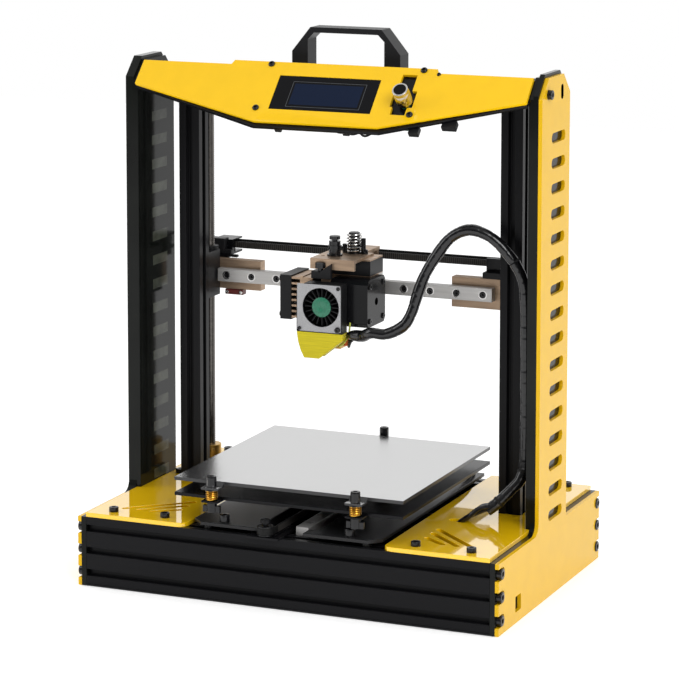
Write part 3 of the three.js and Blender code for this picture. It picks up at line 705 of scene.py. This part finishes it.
def pierced_plate(low, high, centre, radius, front, back, sides=64):
    """A rectangular plate, standing across y, with a round window."""
    def draw(bm):
        inner, outer = [], []
        for i in range(sides):
            a = TAU * (i + 0.5) / sides
            c, s = math.cos(a), math.sin(a)
            edge_x = high[0] if c > 0 else low[0]
            edge_z = high[1] if s > 0 else low[1]
            reach = min((edge_x - centre[0]) / c, (edge_z - centre[1]) / s)
            inner.append((centre[0] + c * radius, centre[1] + s * radius))
            outer.append((centre[0] + c * reach, centre[1] + s * reach))
        outlines = ((inner, front), (outer, front), (outer, back), (inner, back))
        rings = [[on_head(x, y, z) for x, z in outline] for outline, y in outlines]
        add_rings(bm, [list(ring) for ring in zip(*rings)], loop=True)
    return draw


BLOWER = (-8.2, -9.6)
BLOWER_LOW, BLOWER_HIGH = (-30.9, -31.6), (10.9, 10.8)
BLOWER_FRONT = 115.5
piece("blower_face", silver_face, "print_head",
      pierced_plate(BLOWER_LOW, BLOWER_HIGH, BLOWER, 17.5, BLOWER_FRONT, BLOWER_FRONT + 0.5))


def blower_hub(bm):
    """The coloured cap in the middle of the blower's wheel."""
    profile = [(8.9, -0.2), (8.9, 0.6), (8.3, 1.0), (3, 1.0), (2.6, 0.8)]
    add_turned(bm, profile, place(on_head(BLOWER[0], 117.5, BLOWER[1]), FORWARD), 32)


piece("blower_hub", green, "blower_wheel", blower_hub)

# Across, up, and the head's radius
BLOWER_SCREWS = ((-28.6, -29.3, 1.7), (8.6, 8.2, 1.7), (8, -28.6, 2.6))
FAN_FACE, FAN_Y, FAN_Z, FAN_HALF_PITCH = -53.7, 150, -5.4, 16
MOTOR_FACE, MOTOR_Y, MOTOR_Z = 30.5, 151, -7.2
DECK_TOP = 31.6
DECK_SCREWS = ((-20, 168), (12, 168))


def head_screws(bm):
    """The screws of the blower, the fan, the extruder's motor and the top deck."""
    for x, z, radius in BLOWER_SCREWS:
        add_screw(bm, on_head(x, BLOWER_FRONT, z), FORWARD, radius, radius * 0.6)
    for dy in BOTH:
        for dz in BOTH:
            fan = on_head(FAN_FACE, FAN_Y + dy * FAN_HALF_PITCH, FAN_Z + dz * FAN_HALF_PITCH)
            add_screw(bm, fan, (-1, 0, 0), 2.6, 1.6)
            motor = on_head(MOTOR_FACE, MOTOR_Y + dy * MOTOR_HALF_PITCH,
                            MOTOR_Z + dz * MOTOR_HALF_PITCH)
            add_screw(bm, motor, (1, 0, 0), 2.5, 1.4)
    for x, y in DECK_SCREWS:
        add_screw(bm, on_head(x, y, DECK_TOP), UP, 2.6, 2)


def carriage_spacer(bm):
    """The dark block between the extruder and the deck."""
    add_box(bm, on_head(-25.4, 149.8, 14.8), on_head(25, 180.2, 28.3))


def motor_hole(bm):
    """The bore in the end of the extruder's motor, as a dark disc: painted shade."""
    face = place(on_head(MOTOR_FACE, MOTOR_Y, MOTOR_Z), (1, 0, 0))
    add_turned(bm, [(3.3, -0.2), (3.3, 0.15)], face, 24)


piece("head_screws", black_screw, "print_head", head_screws)
piece("carriage_spacer", black_plastic, "print_head", carriage_spacer, bevel=0.3)
piece("motor_hole", hole_shade, "print_head", motor_hole)


def stud(point, height):
    """A stud with its nuts and washers, stacked on the deck."""
    def draw(bm):
        profile = [(7, 0), (7, 1.4), (5.3, 1.5), (5.3, height * 0.45), (6.2, height * 0.47),
                   (6.2, height * 0.7), (5.2, height * 0.72), (5.2, height)]
        add_turned(bm, profile, place(point), 12)
    return draw


def thumb_screw(point, height, radius):
    """A knurled screw with a plain collar below its head."""
    def draw(bm):
        collar, head = radius * 0.6, radius * 1.15
        profile = [(collar, 0), (collar, height * 0.3), (head, height * 0.35), (head, height * 0.92),
                   (radius * 0.9, height)]
        add_turned(bm, profile, place(point), 40, knurled(40, 0.95, first=2))
    return draw


def coil(point, radius, wire, length, turns):
    """A compression spring standing on a point."""
    def draw(bm):
        steps = 14
        count = int(turns * steps)
        points = []
        for k in range(count + 1):
            a = TAU * k / steps
            offset = Vector((radius * math.cos(a), radius * math.sin(a), length * k / count))
            points.append(place(point) @ offset)
        add_tube(bm, points, wire, 6)
    return draw


FEED = (-9.2, 150)
CLAMP = (2.2, 168)
STUD_FOOT = DECK_TOP + 0.1
# Across, and the head's height
CLAMP_BOLTS = ((-7, 8), (11, 14), (13, 4))


def clamp_bolts(bm):
    """Bolts of unequal height beside the clamp's stud."""
    for x, height in CLAMP_BOLTS:
        add_screw(bm, on_head(x, CLAMP[1], DECK_TOP), UP, 2.2, height)


piece("feed_stud", black_screw, "print_head", stud(on_head(*FEED, STUD_FOOT), 13.2))
piece("feed_fitting", black_screw, "print_head", thumb_screw(on_head(*FEED, 44.6), 5, 4.2))
piece("clamp_stud", black_screw, "print_head", stud(on_head(*CLAMP, STUD_FOOT), 12.5))
piece("clamp_screw", black_screw, "print_head", thumb_screw(on_head(*CLAMP, 44), 7, 4.4))
piece("clamp_spring", chrome, "print_head", coil(on_head(*CLAMP, 33.5), 6.6, 0.6, 16, 5.5))
piece("clamp_bolts", black_screw, "print_head", clamp_bolts)
piece("lever_screw", black_screw, "print_head", thumb_screw(on_head(-14.5, 130.2, 20.5), 8, 4.2))


def heater(bm):
    """The sleeve round the hot end's heater."""
    add_box(bm, on_head(-3, 146, -49), on_head(6, 152, -42))


def sensor_wire(bm):
    """The thin wire that runs up from the nozzle past the air duct."""
    points = [on_head(2, 134, -47), on_head(9, 130, -42), on_head(13.5, 128, -34), on_head(14, 130, -24)]
    add_tube(bm, curve_through(points, 8), 0.8)


def heater_wires(bm):
    """Three wires from the heater into the cable."""
    for k in (-2, 0, 2):
        points = [on_head(5, 149, -46 + k), on_head(12, 134 + k, -44 + k),
                  on_head(18, 124 + k, -37 + k), on_head(28, 118 + k, -33)]
        add_tube(bm, curve_through(points, 8), 1.3)


def cable_boot(bm):
    """The taped end of the cable at the print head."""
    profile = [(2.6, -10), (4.4, -5), (5.1, 0), (5, 6)]
    add_turned(bm, profile, place(on_head(24, 120, -33), (10, -4, 1)), 20)


piece("heater", orange, "print_head", heater, bevel=1)
piece("sensor_wire", lime, "print_head", sensor_wire)
piece("heater_wires", rubber, "print_head", heater_wires)
piece("cable_boot", sleeve, "print_head", cable_boot)


# ---- Bed: springs, washers and wires ----
LEVEL = {"left": at(-67, 2, 0), "right": at(67, 2, 0), "rear": at(0, 233, 0)}
SPRING_FOOT = 89.9


def level_washer(foot):
    """The washer on a levelling spring."""
    def draw(bm):
        add_turned(bm, [(6.2, 98.1), (6.2, 98.75)], Matrix.Translation(foot), 32)
    return draw


def level_socket(foot):
    """The socketed top of a levelling screw."""
    def draw(bm):
        add_screw(bm, foot + UP * 109.2, UP, 4.1, 1.1, shank=0)
    return draw


for name, foot in LEVEL.items():
    piece("spring_" + name, gold_wire, "bed", coil(foot + UP * SPRING_FOOT, 4.6, 0.8, 7.8, 4.5))
    piece("washer_" + name, black_screw, "bed", level_washer(foot))
    piece("socket_" + name, black_anodised, "level_screw_" + name, level_socket(foot))

BED_WIRES = {"red": red, "blue": blue, "black": rubber}
BED_WIRE_X, BED_WIRE_PITCH = 72, 3


def bed_wire(x):
    """A wire that drops from under the bed to the centre plate."""
    def draw(bm):
        points = [at(x - 6, 170, 85.5), at(x, 196, 82), at(x + 6, 222, 75), at(x + 5, 244, 70.8),
                  at(x + 2, 256, 69.5)]
        add_tube(bm, curve_through(points, 10), 1.2)
    return draw


for k, (name, material) in enumerate(BED_WIRES.items()):
    wire = piece("bed_wire_" + name, material, None, bed_wire(BED_WIRE_X + BED_WIRE_PITCH * k))
    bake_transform(wire)


# ---- Cable from the print head to the base ----
CABLE_RISE = [(145, 112, 75), (154, 117, 83), (163, 122, 93), (171, 127, 104), (173, 130, 122),
              (173, 131, 190), (172, 131, 259), (169, 130, 279), (162, 129, 293)]
CABLE_ARCH = [(162, 129, 293), (150, 127, 307), (137, 125, 316), (122, 123, 319), (106, 122, 311),
              (93, 121, 294), (83, 119, 276), (77, 117, 258), (73, 115, 244), (66, 113, 232),
              (51, 111, 224), (37, 110, 224), (26, 117, 219), (16, 121, 218)]
CABLE_RADIUS, GROOVE_RADIUS, SWELL = 4.95, 4.72, 0.2
WINDING = 7


def evenly(points, spacing):
    """Points at equal spacing along a line of points."""
    made, left = [points[0]], 0.0
    for a, b in zip(points, points[1:]):
        length = (b - a).length
        while left + spacing <= length:
            left += spacing
            made.append(a.lerp(b, left / length))
        left -= length
    return made


def wrapped(points):
    """A bundle wound in tape, as a tube that swells and has a shallow groove at each winding."""
    def radius(index):
        wound = CABLE_RADIUS if index % WINDING else GROOVE_RADIUS
        return wound + SWELL * math.sin(index * 0.23)

    def draw(bm):
        line = evenly(curve_through([at(*p) for p in points], 16), 1.4)
        add_tube(bm, line, radius, 20)
    return draw


rise = piece("cable_rise", sleeve, None, wrapped(CABLE_RISE), smooth=50)
arch = piece("cable_arch", sleeve, None, wrapped(CABLE_ARCH), smooth=50)
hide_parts("cable_bundle")
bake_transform(rise)
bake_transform(arch)


def cable_strands(bm):
    """Where the wrap ends, thicker strands fan out into the base."""
    for k in range(4):
        shift = 3 * (k - 1.5)
        points = [at(150, 114.5 + shift * 0.4, 79), at(141, 110 + shift * 0.8, 74 + abs(shift)),
                  at(131, 106 + shift, 70.5), at(122, 104.5 + shift * 0.5, 64)]
        add_tube(bm, curve_through(points, 8), 2.3, 10)


piece("cable_strands", sleeve, "frame", cable_strands)


def ring_tie(middle_point, direction, radius):
    """A cable tie: a flat band round the bundle, with its lock."""
    def draw(bm):
        matrix = place(middle_point, direction)
        outer = radius + 0.7
        add_hoop(bm, ((radius, -1), (outer, -1), (outer, 1), (radius, 1)), matrix)
        add_box(bm, (radius, -1.6, -1.4), (radius + 2.4, 1.6, 1.4), matrix)
    return draw


piece("cable_tie_low", rubber, "frame", ring_tie(at(154, 117, 83), (9, 5, 9), 4.8))
piece("cable_tie_post", rubber, "frame", ring_tie(at(172.4, 128.8, 109), (0.2, 0.3, 1), 4.8))

# ---- Console: clips and wires under its lower edge ----
CONSOLE_WIRES = (14, 26, 38)
# Left edge, lower edge and width
CONSOLE_CLIPS = ((-40, -36, 6), (24, -36, 6), (84, -33, 9), (112, -25, 13))


def console_wires(bm):
    """Short loops of wire behind the console's lower edge."""
    for k, x in enumerate(CONSOLE_WIRES):
        points = [at(x, 76, 408), at(x + 4, 80, 404 - k), at(x + 9, 86, 404), at(x + 12, 92, 410)]
        add_tube(bm, curve_through(points, 8), 1)


def console_clips(bm):
    """Small dark blocks behind the console's lower edge."""
    for x, low, width in CONSOLE_CLIPS:
        add_box(bm, Vector((x, low, -13)), Vector((x + width, low + 8, -7.5)), console)


piece("console_wires", rubber, "frame", console_wires)
piece("console_clips", black_plastic, "frame", console_clips, bevel=0.4)

# ---- Stage, light and camera ----
floor_mesh = bpy.data.meshes.new("floor")
bm = bmesh.new()
add_box(bm, (-3000, -3000, -20), (3000, 3000, -0.5))
bmesh.ops.scale(bm, vec=(MM, MM, MM), verts=bm.verts)
bm.to_mesh(floor_mesh)
bm.free()
floor = bpy.data.objects.new("floor", floor_mesh)
bpy.context.scene.collection.objects.link(floor)
# The floor glows a little, so that it blends into the white room behind it
floor_paint = Paint("floor", (0.9, 0.9, 0.9), 0.8, grain=0.01, scale=5, bump=0, specular=0.0)
floor_paint.set("Emission Color", (1, 1, 1, 1))
floor_paint.set("Emission Strength", 0.3)
floor_mesh.materials.append(floor_paint.material)

# The room: seen white behind the printer. It lights the printer more from the back and
# overhead than from the side it is seen from.
world = bpy.data.worlds.new("studio")
bpy.context.scene.world = world
world.use_nodes = True
room = world.node_tree


def room_node(kind, **inputs):
    """A node of the room, with the values of its inputs; an underscore stands for a space."""
    made = room.nodes.new(kind)
    for name, value in inputs.items():
        made.inputs[name.replace("_", " ")].default_value = value
    return made


direction = room_node("ShaderNodeSeparateXYZ")
room.links.new(room_node("ShaderNodeTexCoord").outputs["Generated"], direction.inputs[0])
towards_back = room_node("ShaderNodeMapRange", From_Min=-0.5, From_Max=0.8, To_Min=0.06, To_Max=1.0)
overhead = room_node("ShaderNodeMapRange", From_Min=0.2, From_Max=0.95, To_Min=0.0, To_Max=0.6)
room.links.new(direction.outputs["Y"], towards_back.inputs["Value"])
room.links.new(direction.outputs["Z"], overhead.inputs["Value"])
total = room_node("ShaderNodeMath")
room.links.new(towards_back.outputs[0], total.inputs[0])
room.links.new(overhead.outputs[0], total.inputs[1])
seen = room_node("ShaderNodeMix")
room.links.new(room_node("ShaderNodeLightPath").outputs["Is Camera Ray"], seen.inputs["Factor"])
room.links.new(total.outputs[0], seen.inputs["A"])
seen.inputs["B"].default_value = 1.0
room.links.new(seen.outputs[0], room.nodes["Background"].inputs["Strength"])
room.nodes["Background"].inputs["Color"].default_value = (1, 1, 1, 1)


def add_light(name, spot, towards, size, power):
    """A rectangular lamp, in metres and watts."""
    lamp = bpy.data.lights.new(name, "AREA")
    lamp.shape = "RECTANGLE"
    lamp.size, lamp.size_y = size
    lamp.energy = power
    made = bpy.data.objects.new(name, lamp)
    bpy.context.scene.collection.objects.link(made)
    made.location = spot
    made.rotation_euler = (towards - Vector(spot)).to_track_quat("-Z", "Y").to_euler()


object_middle = Vector((0, 0, 0.22))
add_light("key", (1.6, -1.6, 1.6), object_middle, (1.2, 1.2), 34)
add_light("left", (-1.8, -1.0, 1.2), object_middle, (1.0, 1.6), 15)

# The standpoint the printer is seen from, and its lens. The lens is shifted to frame the printer
# from there. It depends on how far the camera is from there, and is none from 20 mm on.
STANDPOINT = Vector((1.0249, -2.4416, 0.7488))
AZIMUTH, ELEVATION, ROLL = (math.radians(d) for d in (23.884, 7.099, -0.0916))
SHIFT = (0.0837, -0.3418)
SHIFT_ENDS = 0.02
lens = bpy.data.cameras.new("camera")
lens.sensor_width = 36
lens.lens = 161.02
camera = bpy.data.objects.new("camera", lens)
bpy.context.scene.collection.objects.link(camera)
camera.location = STANDPOINT
camera.rotation_euler = (
    Matrix.Rotation(AZIMUTH, 4, "Z") @ Matrix.Rotation(math.pi / 2 - ELEVATION, 4, "X")
    @ Matrix.Rotation(ROLL, 4, "Z")
).to_euler()
standpoint = bpy.data.objects.new("standpoint", None)
standpoint.location = STANDPOINT
bpy.context.scene.collection.objects.link(standpoint)
for prop, amount in zip(("shift_x", "shift_y"), SHIFT):
    curve = lens.driver_add(prop)
    curve.driver.type = "SUM"
    gap = curve.driver.variables.new()
    gap.type = "LOC_DIFF"
    gap.targets[0].id = camera
    gap.targets[1].id = standpoint
    curve.modifiers.remove(curve.modifiers[0])
    for distance, value in ((0, amount), (SHIFT_ENDS, 0)):
        key = curve.keyframe_points.insert(distance, value)
        key.interpolation = "CONSTANT"
bpy.context.scene.camera = camera
bpy.context.scene.view_settings.view_transform = "Standard"
